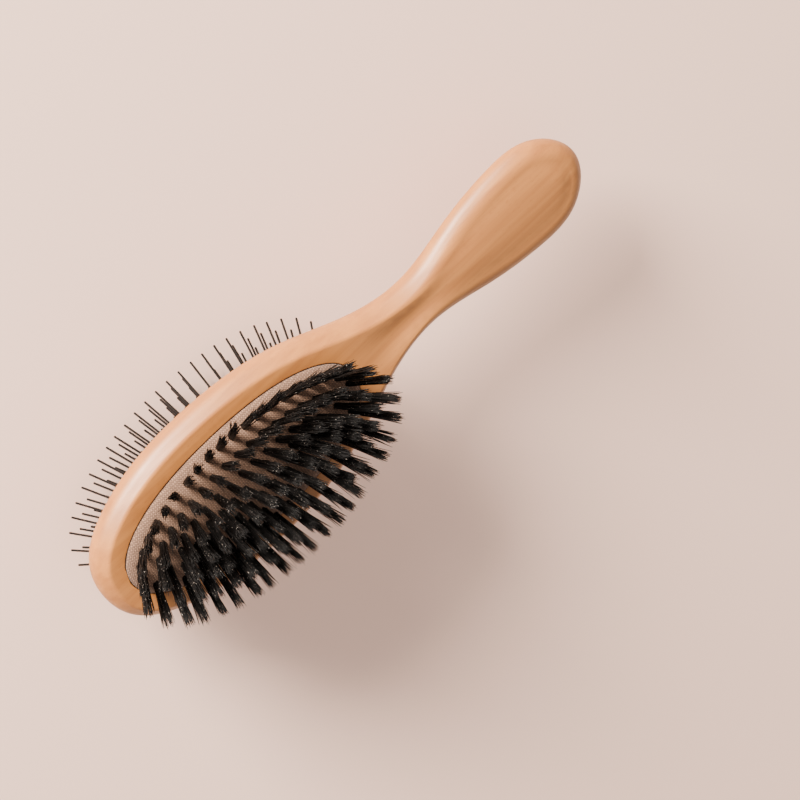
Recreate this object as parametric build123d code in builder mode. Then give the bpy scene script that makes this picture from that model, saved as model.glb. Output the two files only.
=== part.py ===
from build123d import *
import os

# Two-sided cushion hair brush, in millimetres.
# +X runs from the head's tip to the handle's end, +Z is the boar-bristle side.
# The origin is under the middle of the brush, at the level of the lowest pin tips.

# ---- wooden body ----
brush_length = 225.0
body_thickness = 13.0
ridge_inset = 4.0            # how far each face's edge lies in from the side
head_middle = 60.0           # stations along the brush, from the tip
head_half_width = 32.0
crown_station = 5.0
crown_half_width = 15.2
shoulder_station = 18.0
shoulder_half_width = 24.4
taper_station = 102.0
taper_half_width = 24.9
throat_station = 128.0
throat_half_width = 13.8
neck_station = 150.0
neck_half_width = 10.1
grip_station = 172.0
grip_half_width = 14.9
handle_station = 196.0
handle_half_width = 18.5
heel_station = 213.0
heel_half_width = 16.4

# ---- oval recess and the pad that fills it, the same on both sides ----
pad_middle = 62.0            # station of the oval's centre
recess_half_length = 52.5
recess_half_width = 21.6
oval_power = 2.2             # 2 is an ellipse, more is squarer
recess_depth = 5.0
groove_below_face = 1.4      # undercut that the rubber's edge is tucked into
groove_width = 1.6
groove_reach = 1.8
rubber_thickness = 1.2
fabric_thickness = 0.5
pad_clearance = 0.25         # round the pad's wall, and round its edge in the groove
dome_height = 5.8
dome_power = 2.2
dome_root = 0.55

# ---- boar-bristle tufts, in oval rings round one middle row ----
tuft_reach = 19.5            # from the fabric to the tip
tuft_root_radius = 1.2
tuft_tip_radius = 1.6
tuft_pitch = 5.6
# Each ring as a share of the oval's length and of its width.
tuft_rings = [(0.926, 0.848), (0.781, 0.574), (0.629, 0.287)]
tuft_row_share = 0.53        # half length of the middle row, the same way
staple_span = 3.4
staple_wire = 0.5
staple_leg = 0.8

# ---- steel pins, laid out the same way ----
pin_reach = 20.0
pin_radius = 0.4
pin_pitch = 4.4
pin_rings = [(0.937, 0.870), (0.857, 0.713), (0.771, 0.546), (0.676, 0.370), (0.552, 0.194)]
pin_row_share = 0.45
pin_head_radius = 1.0
pin_head_thickness = 0.5

# ---- how far tufts and pins fan out at the oval's edge, as a slope ----
tuft_fan_along = 0.56
tuft_fan_across = 0.82
tuft_fan_middle = -7.0       # where along the pad the tufts stand upright
pin_fan_along = 0.6
pin_fan_across = 0.7
pin_fan_middle = 0.0

# ---- worked out from the sizes above ----
pad_x = pad_middle - brush_length / 2
face_height = body_thickness / 2
middle_z = pin_reach + dome_height + face_height
skin_thickness = rubber_thickness + fabric_thickness
bristle_side = 1
pin_side = -1

os.makedirs("parts", exist_ok=True)


def save(piece, name):
    """Label a finished piece and write it as a STEP file."""
    piece.part.label = name
    export_step(piece.part, f"parts/{name}.step")


# ------------------------------------------------------------ the wooden body
def outline_points(inset):
    """Points round the brush in one loop, drawn in from its side by inset."""
    half = brush_length / 2
    one_side = [
        (crown_station - half, crown_half_width),
        (shoulder_station - half, shoulder_half_width),
        (head_middle - half, head_half_width),
        (taper_station - half, taper_half_width),
        (throat_station - half, throat_half_width),
        (neck_station - half, neck_half_width),
        (grip_station - half, grip_half_width),
        (handle_station - half, handle_half_width),
        (heel_station - half, heel_half_width),
    ]
    other_side = [(x, -y) for x, y in reversed(one_side)]
    loop = [(-half, 0), *one_side, (half, 0), *other_side]
    points = []
    for index, (x, y) in enumerate(loop):
        x_before, y_before = loop[index - 1]
        x_after, y_after = loop[(index + 1) % len(loop)]
        along = Vector(x_after - x_before, y_after - y_before).normalized()
        points.append((x + inset * along.Y, y - inset * along.X))
    return points


def oval_points(inset):
    """Points round the recess's oval, drawn in by inset, in one even loop."""
    steps = 28
    points = []
    for step in range(steps):
        turn = Vector(1, 0).rotate(Axis.Z, 360 * step / steps)
        x = abs(turn.X) ** (2 / oval_power) * (recess_half_length - inset)
        y = abs(turn.Y) ** (2 / oval_power) * (recess_half_width - inset)
        points.append((pad_x + (x if turn.X > 0 else -x), y if turn.Y > 0 else -y))
    return points


def face_plane(side, height):
    """A level plane whose normal points out of one side, height above the middle."""
    return Plane(origin=(0, 0, middle_z + side * height), x_dir=(1, 0, 0), z_dir=(0, 0, side))


# The side is one round arc between the two faces: (height above the middle, inset).
arc_radius = (face_height ** 2 + ridge_inset ** 2) / (2 * ridge_inset)
side_profile = []
for share in (-1, -0.85, -0.6, -0.3, 0, 0.3, 0.6, 0.85, 1):
    height = share * face_height
    side_profile.append((height, arc_radius - (arc_radius ** 2 - height ** 2) ** 0.5))

with BuildPart() as wood_body:
    for height, inset in side_profile:
        with BuildSketch(Plane.XY.offset(middle_z + height)):
            with BuildLine():
                Spline(*outline_points(inset), periodic=True)
            make_face()
    loft(ruled=True)
    for side in (bristle_side, pin_side):
        with BuildSketch(face_plane(side, face_height)):
            with BuildLine():
                Spline(*oval_points(0), periodic=True)
            make_face()
        extrude(amount=-recess_depth, mode=Mode.SUBTRACT)
        with BuildSketch(face_plane(side, face_height - groove_below_face)):
            with BuildLine():
                Spline(*oval_points(-groove_reach), periodic=True)
            make_face()
        extrude(amount=-groove_width, mode=Mode.SUBTRACT)
save(wood_body, "wood_body")


# ------------------------------------------------------------------- the pads
def oval_radius(x, y):
    """0 at the oval's centre and 1 at its edge, x counted from the oval's centre."""
    along = abs(x / recess_half_length) ** oval_power
    across = abs(y / recess_half_width) ** oval_power
    return (along + across) ** (1 / oval_power)


def dome_share(radius):
    """The dome's height at an oval radius, as a share of its full height."""
    return (1 - min(radius, 1) ** dome_power) ** dome_root


def dome_sections(depth):
    """(inset, height above the face) of level sections through a dome.

    depth is how far the dome's skin lies under the pad's outer surface.
    """
    span = recess_half_width - pad_clearance
    sections = []
    for radius in (1.0, 0.97, 0.88, 0.7, 0.4):
        inset = pad_clearance + depth + (span - depth) * (1 - radius)
        sections.append((inset, dome_share(radius) * (dome_height - depth)))
    return sections


def solid_dome(side, depth, foot):
    """A dome on a straight foot that goes down to foot below the face."""
    with BuildPart() as dome:
        with BuildSketch(face_plane(side, face_height - foot)):
            with BuildLine():
                Spline(*oval_points(pad_clearance + depth), periodic=True)
            make_face()
        extrude(amount=foot)
        for inset, height in dome_sections(depth):
            with BuildSketch(face_plane(side, face_height + height)):
                with BuildLine():
                    Spline(*oval_points(inset), periodic=True)
                make_face()
        loft(ruled=True)
    return dome.part


def make_pad(side, name):
    """The woven facing and the rubber cushion under it, on one side."""
    groove_floor = groove_below_face + groove_width
    with BuildPart() as rubber:
        add(solid_dome(side, fabric_thickness, groove_floor - pad_clearance))
        with BuildSketch(face_plane(side, face_height - groove_below_face - pad_clearance)):
            with BuildLine():
                Spline(*oval_points(pad_clearance - groove_reach), periodic=True)
            make_face()
        extrude(amount=-(groove_width - 2 * pad_clearance))
        add(solid_dome(side, skin_thickness, groove_floor), mode=Mode.SUBTRACT)
    save(rubber, f"{name}_rubber_cushion")

    with BuildPart() as fabric:
        add(solid_dome(side, 0, groove_below_face - pad_clearance))
        add(solid_dome(side, fabric_thickness, groove_below_face), mode=Mode.SUBTRACT)
    save(fabric, f"{name}_fabric_facing")


make_pad(bristle_side, "bristle")
make_pad(pin_side, "pin")


# ------------------------------------------- rings and rows of tufts and of pins
def ring_spots(shares, pitch, shift):
    """Even (x, y) spots round a ring, shift pitches on from its handle end."""
    loop = Edge.make_ellipse(shares[0] * recess_half_length, shares[1] * recess_half_width)
    count = 2 * round(loop.length / pitch / 2)
    spots = [loop.position_at((index + shift) / count) for index in range(count)]
    return [(spot.X, spot.Y) for spot in spots]


def row_spots(share, pitch):
    """Even (x, y) spots along the pad's middle line."""
    count = 2 * round(share * recess_half_length / pitch + 0.5)
    return [((index - (count - 1) / 2) * pitch, 0) for index in range(count)]


def standing_places(spots, side, fan_along, fan_across, fan_middle):
    """Planes on the pad's surface, each with its normal along a tuft or pin."""
    places = []
    for x, y in spots:
        height = face_height + dome_height * dome_share(oval_radius(x, y))
        lean_x = fan_along * (x - fan_middle) / recess_half_length
        lean_y = fan_across * y / recess_half_width
        spot = (pad_x + x, y, middle_z + side * height)
        places.append(Plane(origin=spot, x_dir=(0, 1, 0), z_dir=(lean_x, lean_y, side)))
    return places


from_root = (Align.CENTER, Align.CENTER, Align.MIN)
under_root = (Align.CENTER, Align.CENTER, Align.MAX)
root_depth = skin_thickness + staple_wire

tuft_spots = {}
for number, shares in enumerate(tuft_rings, start=1):
    tuft_spots[f"bristle_ring_{number}"] = ring_spots(shares, tuft_pitch, (number - 1) % 2 / 2)
tuft_spots["bristle_middle_row"] = row_spots(tuft_row_share, tuft_pitch)
staple_seats = []

for name, spots in tuft_spots.items():
    places = standing_places(spots, bristle_side, tuft_fan_along, tuft_fan_across, tuft_fan_middle)
    roots = [place.offset(-root_depth) for place in places]
    staple_seats += roots
    with BuildPart() as tufts:
        with Locations(*roots):
            Cone(tuft_root_radius, tuft_tip_radius, root_depth + tuft_reach, align=from_root)
    save(tufts, name)

with BuildPart() as staples:
    with Locations(*staple_seats):
        Box(staple_span, staple_wire, staple_wire, align=under_root)
        for end in (-1, 1):
            with Locations((end * (staple_span - staple_wire) / 2, 0, 0)):
                Box(staple_wire, staple_wire, staple_leg, align=from_root)
save(staples, "tuft_staples")

pin_spots = {}
for number, shares in enumerate(pin_rings, start=1):
    pin_spots[f"pin_ring_{number}"] = ring_spots(shares, pin_pitch, (number - 1) % 2 / 2)
pin_spots["pin_middle_row"] = row_spots(pin_row_share, pin_pitch)

for name, spots in pin_spots.items():
    places = standing_places(spots, pin_side, pin_fan_along, pin_fan_across, pin_fan_middle)
    heads = [place.offset(-skin_thickness) for place in places]
    with BuildPart() as pins:
        with Locations(*heads):
            Cylinder(pin_head_radius, pin_head_thickness, align=under_root)
            Cylinder(pin_radius, skin_thickness + pin_reach, align=from_root)
    save(pins, name)
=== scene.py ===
import math
import random

import bpy
import bmesh
from mathutils import Matrix, Vector
from mathutils.geometry import delaunay_2d_cdt


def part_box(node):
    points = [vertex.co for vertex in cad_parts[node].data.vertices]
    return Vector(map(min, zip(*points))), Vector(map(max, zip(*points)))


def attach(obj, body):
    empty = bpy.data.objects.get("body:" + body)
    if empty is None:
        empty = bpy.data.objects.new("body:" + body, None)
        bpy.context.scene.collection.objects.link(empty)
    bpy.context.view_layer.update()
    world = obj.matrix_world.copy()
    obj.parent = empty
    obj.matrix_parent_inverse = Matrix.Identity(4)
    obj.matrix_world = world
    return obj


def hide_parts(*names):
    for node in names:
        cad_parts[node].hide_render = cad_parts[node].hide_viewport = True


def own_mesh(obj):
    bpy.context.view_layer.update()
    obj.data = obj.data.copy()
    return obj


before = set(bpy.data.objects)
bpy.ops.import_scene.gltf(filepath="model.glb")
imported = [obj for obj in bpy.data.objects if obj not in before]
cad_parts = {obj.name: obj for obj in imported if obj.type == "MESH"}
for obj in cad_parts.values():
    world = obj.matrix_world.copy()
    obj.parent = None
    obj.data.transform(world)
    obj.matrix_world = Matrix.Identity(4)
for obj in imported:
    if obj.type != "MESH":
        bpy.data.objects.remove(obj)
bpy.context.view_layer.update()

# ------------------------------------------------------------------ wooden body
# One piece of beech: an oval head, a waisted neck and a paddle-shaped handle. Its sides are
# rounded over, its faces are dished at the neck and crowned on the handle, and each face of
# the head has an oval recess routed into it. It is sanded fine and lacquered satin.

body_low, body_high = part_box("wood_body")
middle_z = (body_low.z + body_high.z) / 2
half_thickness = (body_high.z - body_low.z) / 2
pad_low, pad_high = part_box("bristle_fabric_facing")
pad_clearance = 0.00025
recess_x = (pad_low.x + pad_high.x) / 2
recess_half_length = (pad_high.x - pad_low.x) / 2 + pad_clearance
recess_half_width = (pad_high.y - pad_low.y) / 2 + pad_clearance
recess_depth = 0.005
oval_power = 2.2

ridge_inset = 0.0039
facet_angle = math.radians(43)
head_ridge_softness = 0.0009
handle_ridge_softness = 0.0030
recess_edge_round = 0.0006
neck_x = body_low.x + 0.150
throat_x = body_low.x + 0.139
throat_hollow = 0.0015
throat_hollow_reach = 0.016
handle_crown = 0.0010
crown_run = 0.030            # along which the handle's crown rises, from the neck
softening_start = neck_x - 0.012
softening_end = neck_x + 0.022
longest_bevel = 0.0024
outline_count = 520
oval_count = 260
face_grid = 0.0022
grid_margin = 0.0014


def new_mesh_object(name, vertices, faces):
    """A smooth-shaded mesh object in the scene, its normals pointing out."""
    mesh = bpy.data.meshes.new(name)
    mesh.from_pydata(vertices, [], faces)
    work = bmesh.new()
    work.from_mesh(mesh)
    bmesh.ops.recalc_face_normals(work, faces=work.faces)
    work.to_mesh(mesh)
    work.free()
    mesh.polygons.foreach_set("use_smooth", [True] * len(mesh.polygons))
    made = bpy.data.objects.new(name, mesh)
    bpy.context.scene.collection.objects.link(made)
    return made


def widest_outline(node, count):
    """Even points round a CAD node at its middle height, with their outward normals."""
    rim = [v.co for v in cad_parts[node].data.vertices if abs(v.co.z - middle_z) < 1e-5]
    side = sorted({(round(co.x, 6), round(abs(co.y), 6)) for co in rim})
    knots = [Vector(p) for p in side] + [Vector((x, -y)) for x, y in reversed(side[1:-1])]
    fine = []
    steps_between_knots = 8
    for index, knot in enumerate(knots):
        before, after = knots[index - 1], knots[(index + 1) % len(knots)]
        beyond = knots[(index + 2) % len(knots)]
        start_slope, end_slope = (after - before) / 2, (beyond - knot) / 2
        for step in range(steps_between_knots):
            t = step / steps_between_knots
            fine.append(knot * (2 * t ** 3 - 3 * t ** 2 + 1)
                        + start_slope * (t ** 3 - 2 * t ** 2 + t)
                        + after * (3 * t ** 2 - 2 * t ** 3)
                        + end_slope * (t ** 3 - t ** 2))
    lengths = [0.0]
    for here, there in zip(fine, fine[1:] + fine[:1]):
        lengths.append(lengths[-1] + (there - here).length)
    points = []
    index = 0
    for step in range(count):
        target = lengths[-1] * step / count
        while lengths[index + 1] < target:
            index += 1
        share = (target - lengths[index]) / max(lengths[index + 1] - lengths[index], 1e-12)
        points.append(fine[index].lerp(fine[(index + 1) % len(fine)], share))
    smoothing_passes = 6
    for _ in range(smoothing_passes):
        points = [(points[i - 1] + 2 * points[i] + points[(i + 1) % count]) / 4
                  for i in range(count)]
    normals = []
    for index in range(count):
        along = (points[(index + 1) % count] - points[index - 1]).normalized()
        normals.append(Vector((-along.y, along.x)))
    return points, normals


def oval_loop(inset, count):
    """Points round the recess's oval, drawn in by inset."""
    loop = []
    for step in range(count):
        turn = 2 * math.pi * step / count
        x = abs(math.cos(turn)) ** (2 / oval_power) * (recess_half_length - inset)
        y = abs(math.sin(turn)) ** (2 / oval_power) * (recess_half_width - inset)
        loop.append(Vector((recess_x + math.copysign(x, math.cos(turn)),
                            math.copysign(y, math.sin(turn)))))
    return loop


def oval_radius(x, y):
    """0 at the middle of the recess's oval and 1 at its edge."""
    along = abs((x - recess_x) / recess_half_length) ** oval_power
    return (along + abs(y / recess_half_width) ** oval_power) ** (1 / oval_power)


def ease(low, high, value):
    """0 below low, 1 above high and smooth between."""
    share = min(max((value - low) / (high - low), 0), 1)
    return share * share * (3 - 2 * share)


def side_profile(softness):
    """(inset, height as a share of the half thickness), from a face's flat to the middle."""
    rest_in, rest_up = ridge_inset, half_thickness
    bend = rest_in * math.cos(facet_angle) - rest_up * math.sin(facet_angle)
    nose = bend / ((1 - math.cos(facet_angle)) * math.cos(facet_angle) - math.sin(facet_angle) ** 2)
    facet_low = Vector((nose * (1 - math.cos(facet_angle)), nose * math.sin(facet_angle)))
    ridge = Vector((ridge_inset, half_thickness))
    flat_end = Vector((ridge_inset + softness, half_thickness))
    facet_end = ridge + (facet_low - ridge).normalized() * min(softness, longest_bevel)
    profile = []
    arc_steps = 8
    for step in range(arc_steps + 1):
        t = step / arc_steps
        profile.append(flat_end * (1 - t) ** 2 + ridge * 2 * t * (1 - t) + facet_end * t ** 2)
    profile += [facet_end.lerp(facet_low, share) for share in (0.33, 0.66)]
    for step in range(arc_steps):
        angle = facet_angle * (1 - step / arc_steps)
        profile.append(Vector((nose * (1 - math.cos(angle)), nose * math.sin(angle))))
    return [(point.x, point.y / half_thickness) for point in profile]


def build_wood_body():
    outline, normals = widest_outline("wood_body", outline_count)
    crisp = side_profile(head_ridge_softness)
    soft = side_profile(handle_ridge_softness)
    softening = [ease(softening_start, softening_end, p.x) for p in outline]

    def section(level):
        """The (inset, height share) at one level of the side, for each point of the outline."""
        first, last = Vector(crisp[level]), Vector(soft[level])
        return [first.lerp(last, share) for share in softening]

    flat_loop = [p - n * spot.x for p, n, spot in zip(outline, normals, section(0))]
    upper_side = [p for p in flat_loop if p.y >= 0]
    upper_side.sort(key=lambda p: p.x)

    def face_half_width(x):
        for here, there in zip(upper_side, upper_side[1:]):
            if here.x <= x <= there.x:
                share = (x - here.x) / max(there.x - here.x, 1e-9)
                return here.y + (there.y - here.y) * share
        return 0.0

    def ridge_drop(x):
        return handle_crown * ease(neck_x, neck_x + crown_run, x)

    def face_height(x, y):
        across = min(abs(y) / max(face_half_width(x), 1e-4), 1)
        hollow = throat_hollow * math.exp(-((x - throat_x) / throat_hollow_reach) ** 2)
        return half_thickness - ridge_drop(x) * across ** 2 - hollow * (1 - across ** 2) ** 1.5

    vertices, faces = [], []

    def add_loop(points):
        vertices.extend(points)
        return list(range(len(vertices) - len(points), len(vertices)))

    def join_loops(first, second):
        for index in range(len(first)):
            after = (index + 1) % len(first)
            faces.append((first[index], first[after], second[after], second[index]))

    middle_loop = add_loop([(p.x, p.y, middle_z) for p in outline])
    for side in (1, -1):
        loops = []
        for level in range(len(crisp)):
            ring = []
            for p, n, place in zip(outline, normals, section(level)):
                spot = p - n * place.x
                height = place.y * (half_thickness - ridge_drop(spot.x))
                ring.append((spot.x, spot.y, middle_z + side * height))
            loops.append(add_loop(ring))
        for first, second in zip(loops, loops[1:] + [middle_loop]):
            join_loops(first, second)

        edge_steps = 5
        edge_loops = []
        for step in range(edge_steps + 1):
            turn = math.pi / 2 * step / edge_steps
            outward = recess_edge_round * (1 - math.sin(turn))
            drop = recess_edge_round * (1 - math.cos(turn))
            ring = []
            for p in oval_loop(-outward, oval_count):
                height = face_height(p.x, p.y) - drop
                ring.append((p.x, p.y, middle_z + side * height))
            edge_loops.append(add_loop(ring))
        floor = half_thickness - recess_depth
        wall = oval_loop(0, oval_count)
        edge_loops.append(add_loop([(p.x, p.y, middle_z + side * floor) for p in wall]))
        for first, second in zip(edge_loops, edge_loops[1:]):
            join_loops(first, second)
        faces.append(tuple(edge_loops[-1]))

        flat_ring, recess_ring = loops[0], edge_loops[0]
        flat_points = [Vector(vertices[i][:2]) for i in flat_ring + recess_ring]
        edges = [(i, (i + 1) % outline_count) for i in range(outline_count)]
        edges += [(outline_count + i, outline_count + (i + 1) % oval_count)
                  for i in range(oval_count)]
        rows = int(body_high.y / face_grid) + 1
        for column in range(int((body_high.x - body_low.x) / face_grid) + 1):
            x = body_low.x + face_grid * (column + 0.5)
            width = face_half_width(x) - grid_margin
            width = min(width, face_half_width(x - grid_margin), face_half_width(x + grid_margin))
            for row in range(-rows, rows + 1):
                y = face_grid * (row + 0.5 * (column % 2))
                if abs(y) < width and oval_radius(x, y) > 1 + face_grid / recess_half_width:
                    flat_points.append(Vector((x, y)))
        found = delaunay_2d_cdt(flat_points, edges, [], 0, 1e-7, True)
        numbers = {}
        known = flat_ring + recess_ring
        for new, olds in enumerate(found[3]):
            if olds and min(olds) < len(known):
                numbers[new] = known[min(olds)]
            else:
                p = found[0][new]
                vertices.append((p.x, p.y, middle_z + side * face_height(p.x, p.y)))
                numbers[new] = len(vertices) - 1
        for triangle in found[2]:
            centre = sum((found[0][i] for i in triangle), Vector((0, 0))) / 3
            if abs(centre.y) < face_half_width(centre.x) and oval_radius(centre.x, centre.y) > 1:
                faces.append(tuple(numbers[i] for i in triangle))
    return new_mesh_object("beech_body", vertices, faces)


beech_body = build_wood_body()


def new_material(name):
    """A material, its node tree and its shader."""
    material = bpy.data.materials.new(name)
    material.use_nodes = True
    return material, material.node_tree, material.node_tree.nodes["Principled BSDF"]


def new_group(name, inputs, outputs):
    """A shader node group, with its input and output nodes."""
    group = bpy.data.node_groups.new(name, "ShaderNodeTree")
    for label, kind, value in inputs:
        socket = group.interface.new_socket(label, in_out="INPUT", socket_type=kind)
        socket.default_value = value
    for label, kind in outputs:
        group.interface.new_socket(label, in_out="OUTPUT", socket_type=kind)
    return group, group.nodes.new("NodeGroupInput"), group.nodes.new("NodeGroupOutput")


def add_node(tree, kind, inputs=(), **settings):
    """A node with its settings, its inputs set to values or linked from sockets."""
    node = tree.nodes.new(kind)
    for key, value in settings.items():
        setattr(node, key, value)
    for key, value in dict(inputs).items():
        if isinstance(value, bpy.types.NodeSocket):
            tree.links.new(value, node.inputs[key])
        else:
            node.inputs[key].default_value = value
    return node


def stretched_place(tree, scale):
    """Object coordinates, in metres, multiplied along each axis."""
    place = add_node(tree, "ShaderNodeTexCoord")
    scaled = add_node(tree, "ShaderNodeMapping", {"Vector": place.outputs["Object"], "Scale": scale})
    return scaled.outputs[0]


def ramp(tree, value, low, high):
    """A value moved from the range low to high onto 0 to 1."""
    found = add_node(tree, "ShaderNodeMapRange", {"Value": value, "From Min": low, "From Max": high})
    return found.outputs["Result"]


def mix_colour(tree, factor, first, second):
    """Two colours mixed by a value or a socket."""
    mixed = tree.nodes.new("ShaderNodeMix")
    mixed.data_type = "RGBA"
    for socket, value in ((mixed.inputs[0], factor), (mixed.inputs[6], first), (mixed.inputs[7], second)):
        if isinstance(value, bpy.types.NodeSocket):
            tree.links.new(value, socket)
        else:
            socket.default_value = value
    return mixed.outputs[2]


def make_beech_grain():
    """Straight beech grain along X: growth bands, fine fibres and short ray flecks."""
    group, given, result = new_group(
        "beech_grain",
        [("Light Wood", "NodeSocketColor", (1, 1, 1, 1)), ("Dark Wood", "NodeSocketColor", (0, 0, 0, 1)),
         ("Fleck", "NodeSocketColor", (0, 0, 0, 1)), ("Band Width", "NodeSocketFloat", 0.005)],
        [("Colour", "NodeSocketColor"), ("Height", "NodeSocketFloat"), ("Wear", "NodeSocketFloat")])
    warp = add_node(group, "ShaderNodeTexNoise", {
        "Vector": stretched_place(group, (9, 45, 45)), "Scale": 1.0, "Detail": 3.0, "Roughness": 0.5})
    place = add_node(group, "ShaderNodeTexCoord")
    apart = add_node(group, "ShaderNodeSeparateXYZ", {"Vector": place.outputs["Object"]})
    tilt = add_node(group, "ShaderNodeMath", {0: apart.outputs["X"], 1: 0.055}, operation="MULTIPLY")
    slant = add_node(group, "ShaderNodeMath", {0: apart.outputs["Z"], 1: 0.45}, operation="MULTIPLY")
    across = add_node(group, "ShaderNodeMath", {0: apart.outputs["Y"], 1: tilt.outputs[0]}, operation="ADD")
    across = add_node(group, "ShaderNodeMath", {0: across.outputs[0], 1: slant.outputs[0]}, operation="ADD")
    drift = add_node(group, "ShaderNodeMath", {0: warp.outputs[0], 1: 0.011}, operation="MULTIPLY")
    across = add_node(group, "ShaderNodeMath", {0: across.outputs[0], 1: drift.outputs[0]}, operation="ADD")
    bands = add_node(group, "ShaderNodeMath", {0: across.outputs[0], 1: given.outputs["Band Width"]},
                     operation="DIVIDE")
    rings = add_node(group, "ShaderNodeMath", {0: bands.outputs[0]}, operation="FRACT")
    early = ramp(group, rings.outputs[0], 0.0, 0.86)
    late = ramp(group, rings.outputs[0], 1.0, 0.86)
    ring_tone = add_node(group, "ShaderNodeMath", {0: early, 1: late}, operation="MINIMUM")
    fibre = add_node(group, "ShaderNodeTexNoise", {
        "Vector": stretched_place(group, (60, 2200, 2200)), "Scale": 1.0, "Detail": 4.0, "Roughness": 0.6})
    streak = add_node(group, "ShaderNodeTexNoise", {
        "Vector": stretched_place(group, (14, 420, 420)), "Scale": 1.0, "Detail": 4.0, "Roughness": 0.6})
    cloud = add_node(group, "ShaderNodeTexNoise", {
        "Vector": stretched_place(group, (12, 40, 40)), "Scale": 1.0, "Detail": 2.0, "Roughness": 0.5})
    tone = add_node(group, "ShaderNodeMath", {0: ring_tone.outputs[0], 1: 0.20}, operation="MULTIPLY")
    tone = add_node(group, "ShaderNodeMath", {
        0: tone.outputs[0], 1: ramp(group, streak.outputs[0], 0.25, 1.15)}, operation="ADD")
    tone = add_node(group, "ShaderNodeMath", {
        0: tone.outputs[0], 1: ramp(group, cloud.outputs[0], 0.45, 1.6)}, operation="ADD")
    wood = mix_colour(group, tone.outputs[0], given.outputs["Light Wood"], given.outputs["Dark Wood"])
    rays = add_node(group, "ShaderNodeTexVoronoi", {
        "Vector": stretched_place(group, (430, 2700, 2700)), "Scale": 1.0}, feature="F1")
    chosen = add_node(group, "ShaderNodeSeparateColor", {"Color": rays.outputs["Color"]})
    short = ramp(group, rays.outputs["Distance"], 0.34, 0.16)
    some = ramp(group, chosen.outputs["Red"], 0.72, 0.86)
    fleck = add_node(group, "ShaderNodeMath", {0: short, 1: some}, operation="MULTIPLY")
    faint = add_node(group, "ShaderNodeMath", {0: fleck.outputs[0], 1: 0.42}, operation="MULTIPLY")
    coloured = mix_colour(group, faint.outputs[0], wood, given.outputs["Fleck"])
    group.links.new(coloured, result.inputs["Colour"])
    pores = add_node(group, "ShaderNodeMath", {0: fibre.outputs[0], 1: faint.outputs[0]},
                     operation="SUBTRACT")
    group.links.new(pores.outputs[0], result.inputs["Height"])
    group.links.new(streak.outputs[0], result.inputs["Wear"])
    return group


def make_lacquered_beech():
    material, tree, shader = new_material("lacquered_beech")
    grain = add_node(tree, "ShaderNodeGroup", node_tree=make_beech_grain())
    grain.inputs["Light Wood"].default_value = (0.465, 0.188, 0.046, 1)
    grain.inputs["Dark Wood"].default_value = (0.255, 0.084, 0.018, 1)
    grain.inputs["Fleck"].default_value = (0.23, 0.070, 0.016, 1)
    grain.inputs["Band Width"].default_value = 0.0085
    tree.links.new(grain.outputs["Colour"], shader.inputs["Base Color"])
    roughness = add_node(tree, "ShaderNodeMapRange", {
        "Value": grain.outputs["Wear"], "To Min": 0.36, "To Max": 0.54})
    tree.links.new(roughness.outputs["Result"], shader.inputs["Roughness"])
    bump = add_node(tree, "ShaderNodeBump", {
        "Height": grain.outputs["Height"], "Strength": 0.14, "Distance": 0.0002})
    tree.links.new(bump.outputs[0], shader.inputs["Normal"])
    shader.inputs["Coat Weight"].default_value = 0.15
    shader.inputs["Coat Roughness"].default_value = 0.35
    return material


lacquered_beech = make_lacquered_beech()
beech_body.data.materials.append(lacquered_beech)
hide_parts("wood_body")
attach(beech_body, "handle_body")

# -------------------------------------------------------------- tufts and pins
# Where each boar-bristle tuft and each pin stands and which way it points is read from the
# CAD node of its ring or row: the long axis of every separate solid in it.


end_depth = 0.0012           # how much of a stem counts as its end


def stems(node):
    """(root, tip) of every separate solid in a ring or row of tufts or pins."""
    work = bmesh.new()
    work.from_mesh(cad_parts[node].data)
    bmesh.ops.remove_doubles(work, verts=work.verts, dist=1e-6)
    left = set(work.verts)
    found = []
    while left:
        batch, edge = set(), [left.pop()]
        while edge:
            vertex = edge.pop()
            batch.add(vertex)
            for link in vertex.link_edges:
                other = link.other_vert(vertex)
                if other in left:
                    left.remove(other)
                    edge.append(other)
        points = [v.co.copy() for v in batch]
        centre = sum(points, Vector()) / len(points)
        far = max(points, key=lambda p: (p - centre).length)
        axis = (far - centre).normalized()
        ends = []
        for side in (1, -1):
            reach = max(side * (p - centre).dot(axis) for p in points)
            cap = [p for p in points if side * (p - centre).dot(axis) > reach - end_depth]
            ends.append(sum(cap, Vector()) / len(cap))
        ends.sort(key=lambda p: abs(p.z - middle_z))
        found.append((ends[0], ends[1]))
    work.free()
    found.sort(key=lambda stem: stem[0].x)
    return found


tuft_rows = [*(f"bristle_ring_{number}" for number in (1, 2, 3)), "bristle_middle_row"]
pin_rows = [*(f"pin_ring_{number}" for number in (1, 2, 3, 4, 5)), "pin_middle_row"]
tuft_stems = {row: stems(row) for row in tuft_rows}
pin_stems = {row: stems(row) for row in pin_rows}

# ------------------------------------------------------------------- cushions
# On each side a natural-rubber membrane is domed over the air space in the recess, its edge
# tucked into the wood, with a fine beige cotton weave bonded to its outside. Every tuft or
# pin pulls the cloth down a little where it goes through.

dome_height = pad_high.z - middle_z - half_thickness
dome_power = 2.2
dome_root = 0.55
fabric_thickness = 0.0005
rubber_thickness = 0.0012
dimple_depth = 0.00032
dimple_reach = 0.0017
skin_gap = 0.00005
cloth_foot = 0.0011
rubber_foot = 0.0026
root_depth = 0.0022
dimple_cell = 0.004
skin_turns = 288
skin_rings = 84


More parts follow.
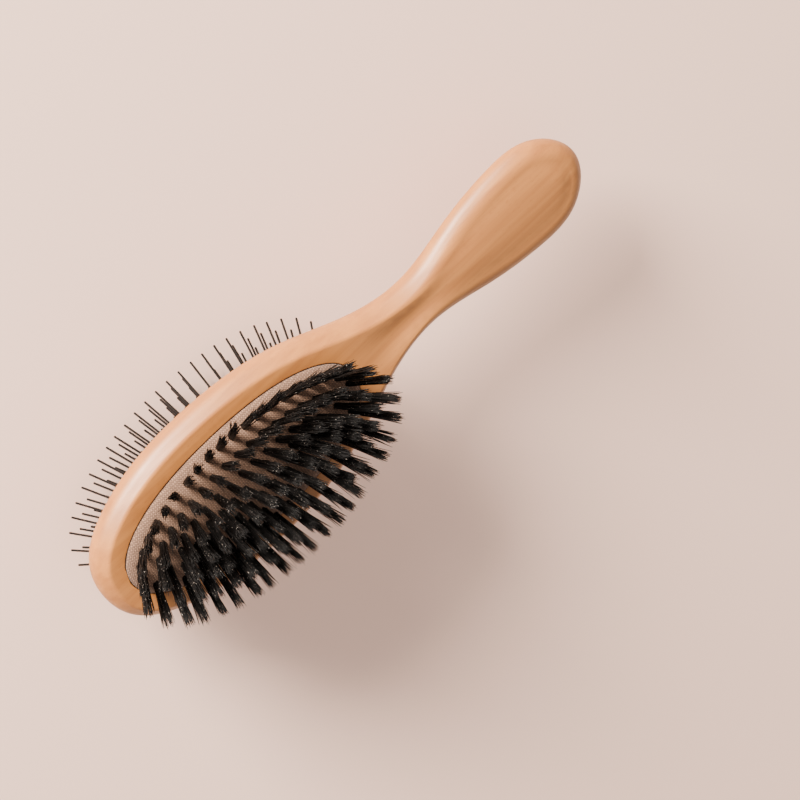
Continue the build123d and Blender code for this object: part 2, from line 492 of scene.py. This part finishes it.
def dome_point(side, share, turn, depth):
    """A point on a skin that lies depth under the pad's outer surface."""
    edge = pad_clearance + depth
    x = abs(math.cos(turn)) ** (2 / oval_power) * (recess_half_length - edge) * share
    y = abs(math.sin(turn)) ** (2 / oval_power) * (recess_half_width - edge) * share
    height = (dome_height - depth) * (1 - share ** dome_power) ** dome_root
    return Vector((recess_x + math.copysign(x, math.cos(turn)), math.copysign(y, math.sin(turn)),
                   middle_z + side * (half_thickness + height)))


def build_pad_skin(name, side, depth, thickness, foot, roots):
    """A closed domed skin, dimpled at the roots of the tufts or pins."""
    vertices, faces = [], []
    spots = {}
    for root, tip in roots:
        along = (tip - root).normalized()
        surface = root + along * root_depth
        spots.setdefault(int(surface.x // dimple_cell), []).append(surface.xy)

    def dimple(x, y):
        pull = 0.0
        cell = int(x // dimple_cell)
        for near in (cell - 1, cell, cell + 1):
            for spot in spots.get(near, ()):
                pull += math.exp(-((x - spot.x) ** 2 + (y - spot.y) ** 2) / dimple_reach ** 2)
        return dimple_depth * min(pull, 1)

    loops = []
    for skin_depth in (depth, depth + thickness):
        rings = []
        for step in range(1, skin_rings + 1):
            share = 1 - (1 - step / skin_rings) ** 1.6
            ring = []
            for turn_step in range(skin_turns):
                point = dome_point(side, share, 2 * math.pi * turn_step / skin_turns, skin_depth)
                point.z -= side * dimple(point.x, point.y) * ease(1.0, 0.9, share)
                ring.append(point)
            rings.append(ring)
        foot_z = middle_z + side * (half_thickness - foot)
        rings.append([Vector((p.x, p.y, foot_z)) for p in rings[-1]])
        centre = dome_point(side, 0.0, 0.0, skin_depth)
        first = len(vertices)
        vertices.append(centre)
        for ring in rings:
            vertices.extend(ring)
        for turn_step in range(skin_turns):
            after = (turn_step + 1) % skin_turns
            faces.append((first, first + 1 + turn_step, first + 1 + after))
            for ring_number in range(len(rings) - 1):
                low = first + 1 + ring_number * skin_turns
                below = low + skin_turns
                faces.append((low + turn_step, below + turn_step, below + after, low + after))
        loops.append(first + 1 + (len(rings) - 1) * skin_turns)
    outer, inner = loops
    for turn_step in range(skin_turns):
        after = (turn_step + 1) % skin_turns
        faces.append((outer + turn_step, inner + turn_step, inner + after, outer + after))
    return new_mesh_object(name, vertices, faces)


def make_cotton_weave():
    """A plain weave on the bias: over and under threads, slubs, painted shade on the threads that pass
    under and painted shade in the dark gaps between.
    """
    group, given, result = new_group(
        "cotton_weave",
        [("Thread", "NodeSocketColor", (1, 1, 1, 1)), ("Shaded Thread", "NodeSocketColor", (0, 0, 0, 1)),
         ("Gap Shade", "NodeSocketColor", (0, 0, 0, 1)), ("Thread Pitch", "NodeSocketFloat", 0.0005)],
        [("Colour", "NodeSocketColor"), ("Height", "NodeSocketFloat")])
    place = add_node(group, "ShaderNodeTexCoord")
    wander = add_node(group, "ShaderNodeTexNoise", {
        "Vector": place.outputs["Object"], "Scale": 160.0, "Detail": 2.0})
    shift = add_node(group, "ShaderNodeVectorMath", {0: wander.outputs["Color"]}, operation="SCALE")
    shift.inputs["Scale"].default_value = 0.00022
    moved = add_node(group, "ShaderNodeVectorMath", {0: place.outputs["Object"], 1: shift.outputs[0]},
                     operation="ADD")
    turned = add_node(group, "ShaderNodeMapping", {
        "Vector": moved.outputs[0], "Rotation": (0, 0, math.radians(44))})
    apart = add_node(group, "ShaderNodeSeparateXYZ", {"Vector": turned.outputs[0]})
    waves = []
    for axis, number in (("X", 0), ("Y", 1)):
        count = add_node(group, "ShaderNodeMath", {
            0: apart.outputs[axis], 1: given.outputs["Thread Pitch"]}, operation="DIVIDE")
        turn = add_node(group, "ShaderNodeMath", {0: count.outputs[0], 1: math.pi}, operation="MULTIPLY")
        wave = add_node(group, "ShaderNodeMath", {0: turn.outputs[0]}, operation="SINE")
        lift = add_node(group, "ShaderNodeMath", {0: wave.outputs[0]}, operation="ABSOLUTE")
        waves.append((wave.outputs[0], lift.outputs[0]))
    crossing = add_node(group, "ShaderNodeMath", {0: waves[0][0], 1: waves[1][0]}, operation="MULTIPLY")
    over = ramp(group, crossing.outputs[0], -0.35, 0.35)
    warp = add_node(group, "ShaderNodeMath", {0: waves[0][1], 1: 0.55}, operation="POWER")
    weft = add_node(group, "ShaderNodeMath", {0: waves[1][1], 1: 1.1}, operation="POWER")
    height = add_node(group, "ShaderNodeMix", data_type="FLOAT")
    group.links.new(over, height.inputs[0])
    group.links.new(warp.outputs[0], height.inputs[2])
    group.links.new(weft.outputs[0], height.inputs[3])
    slub = add_node(group, "ShaderNodeTexNoise", {
        "Vector": turned.outputs[0], "Scale": 900.0, "Detail": 3.0, "Roughness": 0.7})
    thread = mix_colour(group, ramp(group, slub.outputs[0], 0.3, 0.75),
                        given.outputs["Thread"], given.outputs["Shaded Thread"])
    # Painted shade: where one thread passes under another it is drawn in the shaded thread colour.
    shaded_under_threads = mix_colour(group, over, thread, given.outputs["Shaded Thread"])
    cloth = mix_colour(group, 0.7, thread, shaded_under_threads)
    # Painted shade: the low gaps between the threads are drawn in the dark gap shade colour.
    woven = mix_colour(group, ramp(group, height.outputs[0], 0.8, 0.25), cloth, given.outputs["Gap Shade"])
    group.links.new(woven, result.inputs["Colour"])
    group.links.new(height.outputs[0], result.inputs["Height"])
    return group


def make_beige_cotton():
    material, tree, shader = new_material("beige_cotton")
    weave = add_node(tree, "ShaderNodeGroup", node_tree=make_cotton_weave())
    # The thread colour is the cloth's own beige darkened further to stand in for the shade of the dome and
    # tufts over it: partly own colour, partly painted shade. The shaded thread and gap shade colours are
    # painted shade in the weave's hollows.
    weave.inputs["Thread"].default_value = (0.285, 0.165, 0.104, 1)
    weave.inputs["Shaded Thread"].default_value = (0.135, 0.070, 0.040, 1)
    weave.inputs["Gap Shade"].default_value = (0.045, 0.022, 0.013, 1)
    weave.inputs["Thread Pitch"].default_value = 0.00062
    tree.links.new(weave.outputs["Colour"], shader.inputs["Base Color"])
    bump = add_node(tree, "ShaderNodeBump", {
        "Height": weave.outputs["Height"], "Strength": 0.9, "Distance": 0.0002})
    tree.links.new(bump.outputs[0], shader.inputs["Normal"])
    shader.inputs["Roughness"].default_value = 0.88
    shader.inputs["Sheen Weight"].default_value = 0.12
    shader.inputs["Sheen Roughness"].default_value = 0.5
    return material


def make_black_rubber():
    material, tree, shader = new_material("black_rubber")
    speck = add_node(tree, "ShaderNodeTexNoise", {
        "Vector": stretched_place(tree, (900, 900, 900)), "Scale": 1.0, "Detail": 4.0})
    colour = mix_colour(tree, speck.outputs[0], (0.018, 0.015, 0.013, 1), (0.045, 0.038, 0.033, 1))
    tree.links.new(colour, shader.inputs["Base Color"])
    bump = add_node(tree, "ShaderNodeBump", {
        "Height": speck.outputs[0], "Strength": 0.2, "Distance": 0.0001})
    tree.links.new(bump.outputs[0], shader.inputs["Normal"])
    shader.inputs["Roughness"].default_value = 0.7
    return material


beige_cotton = make_beige_cotton()
black_rubber = make_black_rubber()
for side, name, rows in ((1, "bristle", tuft_stems), (-1, "pin", pin_stems)):
    roots = [stem for row in rows.values() for stem in row]
    facing = build_pad_skin(
        f"{name}_side_cloth", side, 0.0, fabric_thickness, cloth_foot, roots)
    membrane = build_pad_skin(
        f"{name}_side_membrane", side, fabric_thickness + skin_gap, rubber_thickness,
        rubber_foot, roots)
    facing.data.materials.append(beige_cotton)
    membrane.data.materials.append(black_rubber)
    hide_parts(f"{name}_fabric_facing")
    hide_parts(f"{name}_rubber_cushion")
    for piece in (facing, membrane):
        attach(piece, "handle_body")
        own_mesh(piece)

# ------------------------------------------------------------- boar bristles
# Each tuft is a bundle of natural black boar bristles, folded over its staple behind the
# rubber. The hairs splay a little, bend by their own set and end at uneven heights.

bristle_radius = 0.00017
bristles_in_tuft = 66
tuft_root_radius = 0.00118
bristle_sides = 4
bristle_taper = ((0.0, 1.0), (0.35, 1.0), (0.65, 0.92), (0.88, 0.78), (1.0, 0.34))
bristle_bend = 0.0005
tuft_stray = 0.03
bristle_stray = 0.011
bristle_splay = (0.010, 0.034)
# Lengths as shares of the tuft's: the usual one, its spread, the longest, and the short ones.
usual_length = 0.955
length_spread = 0.035
longest_length = 1.01
short_bristles = 0.14
short_length = (0.72, 0.94)
draw = random.Random(11)


def add_tube(vertices, faces, rings, direction, sides):
    """A closed tube round a line of (centre, radius), square to direction."""
    across = direction.orthogonal().normalized()
    other = direction.cross(across)
    first = len(vertices)
    for centre, radius in rings:
        for step in range(sides):
            turn = 2 * math.pi * step / sides
            outward = across * math.cos(turn) + other * math.sin(turn)
            vertices.append(centre + outward * radius)
    for level in range(len(rings) - 1):
        for step in range(sides):
            after = (step + 1) % sides
            low = first + level * sides
            high = low + sides
            faces.append((low + step, low + after, high + after, high + step))
    faces.append(tuple(range(first, first + sides))[::-1])
    faces.append(tuple(range(len(vertices) - sides, len(vertices))))


def build_tufts(name, row):
    vertices, faces = [], []
    for root, tip in row:
        axis = (tip - root).normalized()
        whole = (tip - root).length
        lean = Vector((draw.gauss(0, tuft_stray), draw.gauss(0, tuft_stray), 0))
        axis = (axis + lean).normalized()
        across = axis.orthogonal().normalized()
        other = axis.cross(across)
        for _ in range(bristles_in_tuft):
            turn = draw.uniform(0, 2 * math.pi)
            out = math.sqrt(draw.random())
            offset = (across * math.cos(turn) + other * math.sin(turn)) * out
            splay = offset * draw.uniform(*bristle_splay)
            splay += Vector([draw.gauss(0, bristle_stray) for _ in range(3)])
            direction = (axis + splay).normalized()
            length = whole * min(draw.gauss(usual_length, length_spread), longest_length)
            if draw.random() < short_bristles:
                length *= draw.uniform(*short_length)
            bend = (across * draw.gauss(0, 1) + other * draw.gauss(0, 1)) * bristle_bend
            start = root + offset * tuft_root_radius
            radius = bristle_radius * draw.uniform(0.8, 1.15)
            rings = []
            for share, width in bristle_taper:
                centre = start + direction * length * share + bend * share ** 2
                rings.append((centre, radius * width))
            add_tube(vertices, faces, rings, direction, bristle_sides)
    return new_mesh_object(name, vertices, faces)


def make_boar_bristle():
    material, tree, shader = new_material("boar_bristle")
    strand = add_node(tree, "ShaderNodeTexNoise", {
        "Vector": stretched_place(tree, (1500, 1500, 260)), "Scale": 1.0, "Detail": 3.0})
    colour = mix_colour(tree, ramp(tree, strand.outputs[0], 0.5, 0.8),
                        (0.0025, 0.0022, 0.0021, 1), (0.009, 0.0065, 0.0055, 1))
    # Painted glints: sparse pale specks of noise over the hairs stand in for small highlights on the
    # bristles.
    glint = add_node(tree, "ShaderNodeTexNoise", {
        "Vector": stretched_place(tree, (2600, 2600, 1300)), "Scale": 1.0, "Detail": 1.0})
    painted_glint_mask = ramp(tree, glint.outputs[0], 0.70, 0.76)
    colour = mix_colour(tree, painted_glint_mask, colour, (0.42, 0.37, 0.33, 1))
    tree.links.new(colour, shader.inputs["Base Color"])
    gloss = add_node(tree, "ShaderNodeMapRange", {
        "Value": strand.outputs[0], "To Min": 0.45, "To Max": 0.7})
    tree.links.new(gloss.outputs["Result"], shader.inputs["Roughness"])
    scales = add_node(tree, "ShaderNodeTexNoise", {
        "Vector": stretched_place(tree, (5000, 5000, 5000)), "Scale": 1.0, "Detail": 2.0})
    bump = add_node(tree, "ShaderNodeBump", {
        "Height": scales.outputs[0], "Strength": 0.3, "Distance": 0.00004})
    tree.links.new(bump.outputs[0], shader.inputs["Normal"])
    shader.inputs["Specular IOR Level"].default_value = 0.2
    return material


boar_bristle = make_boar_bristle()
for row in tuft_rows:
    tufts = build_tufts(row.replace("bristle", "boar_tufts"), tuft_stems[row])
    tufts.data.materials.append(boar_bristle)
    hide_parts(row)
    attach(tufts, "bristle_cushion")

# ---------------------------------------------------------------- tuft staples
# Small U-shaped staples of drawn steel wire behind the rubber, one over the fold of each tuft.


def make_drawn_wire():
    material, tree, shader = new_material("drawn_wire")
    lines = add_node(tree, "ShaderNodeTexNoise", {
        "Vector": stretched_place(tree, (900, 4000, 4000)), "Scale": 1.0, "Detail": 3.0})
    colour = mix_colour(tree, lines.outputs[0], (0.42, 0.42, 0.43, 1), (0.66, 0.65, 0.63, 1))
    tree.links.new(colour, shader.inputs["Base Color"])
    gloss = add_node(tree, "ShaderNodeMapRange", {
        "Value": lines.outputs[0], "To Min": 0.25, "To Max": 0.45})
    tree.links.new(gloss.outputs["Result"], shader.inputs["Roughness"])
    shader.inputs["Metallic"].default_value = 1.0
    return material


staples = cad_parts["tuft_staples"]
staples.data.materials.clear()
staples.data.materials.append(make_drawn_wire())

# ------------------------------------------------------------------ steel pins
# Straight spring-steel pins with a black coating and rounded ends, each pushed through the
# rubber from behind until its flat head stops it.

pin_radius = 0.0004
pin_head_radius = 0.001
pin_head_thickness = 0.0005
pin_stray = 0.008
pin_sides = 12
pin_tip_steps = 4
pin_draw = random.Random(5)


def build_pins(name, row):
    vertices, faces = [], []
    for root, tip in row:
        direction = (tip - root).normalized()
        sway = Vector((pin_draw.gauss(0, pin_stray), pin_draw.gauss(0, pin_stray), 0))
        direction = (direction + sway).normalized()
        length = (tip - root).length
        profile = [(0, pin_head_radius), (pin_head_thickness, pin_head_radius),
                   (pin_head_thickness, pin_radius)]
        for step in range(pin_tip_steps + 1):
            turn = math.pi / 2 * step / (pin_tip_steps + 0.4)
            profile.append((length - pin_radius + pin_radius * math.sin(turn),
                            pin_radius * math.cos(turn)))
        rings = [(root + direction * distance, radius) for distance, radius in profile]
        add_tube(vertices, faces, rings, direction, pin_sides)
    return new_mesh_object(name, vertices, faces)


def make_black_coated_steel():
    material, tree, shader = new_material("black_coated_steel")
    mottle = add_node(tree, "ShaderNodeTexNoise", {
        "Vector": stretched_place(tree, (700, 700, 300)), "Scale": 1.0, "Detail": 3.0})
    colour = mix_colour(tree, mottle.outputs[0], (0.004, 0.0035, 0.0035, 1), (0.010, 0.009, 0.0085, 1))
    tree.links.new(colour, shader.inputs["Base Color"])
    gloss = add_node(tree, "ShaderNodeMapRange", {
        "Value": mottle.outputs[0], "To Min": 0.42, "To Max": 0.6})
    tree.links.new(gloss.outputs["Result"], shader.inputs["Roughness"])
    shader.inputs["Specular IOR Level"].default_value = 0.12
    return material


black_coated_steel = make_black_coated_steel()
for row in pin_rows:
    pins = build_pins(row.replace("pin", "steel_pins"), pin_stems[row])
    pins.data.materials.append(black_coated_steel)
    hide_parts(row)
    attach(pins, "pin_cushion")

# ------------------------------------------------------- floor, light, camera
# A plain pale floor under the pin tips, one soft low key light past the +Y side, and a weak
# even fill, so that the side wall is bright and the bristle face lies in soft shade.

floor_reach = 6
floor_corners = [(x * floor_reach, y * floor_reach, 0) for x, y in ((-1, -1), (1, -1), (1, 1), (-1, 1))]
floor_mesh = bpy.data.meshes.new("pale_floor")
floor_mesh.from_pydata(floor_corners, [], [(0, 1, 2, 3)])
pale_floor = bpy.data.objects.new("pale_floor", floor_mesh)
bpy.context.scene.collection.objects.link(pale_floor)
paper, paper_tree, paper_shader = new_material("pale_paper")
paper_tone = add_node(paper_tree, "ShaderNodeTexNoise", {
    "Vector": stretched_place(paper_tree, (3, 3, 3)), "Scale": 1.0, "Detail": 2.0})
paper_colour = mix_colour(paper_tree, paper_tone.outputs[0], (0.97, 0.66, 0.53, 1), (0.98, 0.68, 0.55, 1))
paper_tree.links.new(paper_colour, paper_shader.inputs["Base Color"])
paper_shader.inputs["Roughness"].default_value = 0.9
floor_mesh.materials.append(paper)


def add_soft_light(name, place, target, size, power, colour):
    light = bpy.data.lights.new(name, "AREA")
    light.shape = "DISK"
    light.size = size
    light.energy = power
    light.color = colour
    lamp = bpy.data.objects.new(name, light)
    bpy.context.scene.collection.objects.link(lamp)
    lamp.location = place
    lamp.rotation_euler = (Vector(target) - Vector(place)).to_track_quat("-Z", "Y").to_euler()


brush_middle = Vector((0, 0, middle_z))
add_soft_light("key_light", (-0.45, 1.85, 0.64), brush_middle, 0.9, 235, (1.0, 0.91, 0.82))
add_soft_light("fill_light", (-0.6, 0.7, 2.2), brush_middle, 1.6, 7, (1.0, 0.93, 0.88))

world = bpy.data.worlds.new("soft_room")
bpy.context.scene.world = world
world.use_nodes = True
world.node_tree.nodes["Background"].inputs["Color"].default_value = (1.0, 0.92, 0.88, 1)
world.node_tree.nodes["Background"].inputs["Strength"].default_value = 0.62

# The camera is a long lens above the bristle side, rolled so that the handle points up to the
# right and the head's tip down to the left.
camera_distance = 1.632
camera_elevation = math.radians(53.93)
camera_azimuth = math.radians(-164.96)
camera_roll = math.radians(124.17)
aim = Vector((0.0103, -0.0257, middle_z))
forward = Vector((math.cos(camera_elevation) * -math.sin(camera_azimuth),
                  math.cos(camera_elevation) * math.cos(camera_azimuth), -math.sin(camera_elevation)))
level_right = forward.cross(Vector((0, 0, 1))).normalized()
level_up = level_right.cross(forward)
camera_right = level_right * math.cos(camera_roll) + level_up * math.sin(camera_roll)
camera_up = camera_right.cross(forward)
camera_data = bpy.data.cameras.new("camera")
camera_data.lens = 211.5
camera_data.sensor_width = 36
camera_data.clip_end = 50
camera = bpy.data.objects.new("camera", camera_data)
bpy.context.scene.collection.objects.link(camera)
turned = Matrix((camera_right, camera_up, -forward)).transposed().to_4x4()
camera.matrix_world = Matrix.Translation(aim - forward * camera_distance) @ turned
bpy.context.scene.camera = camera
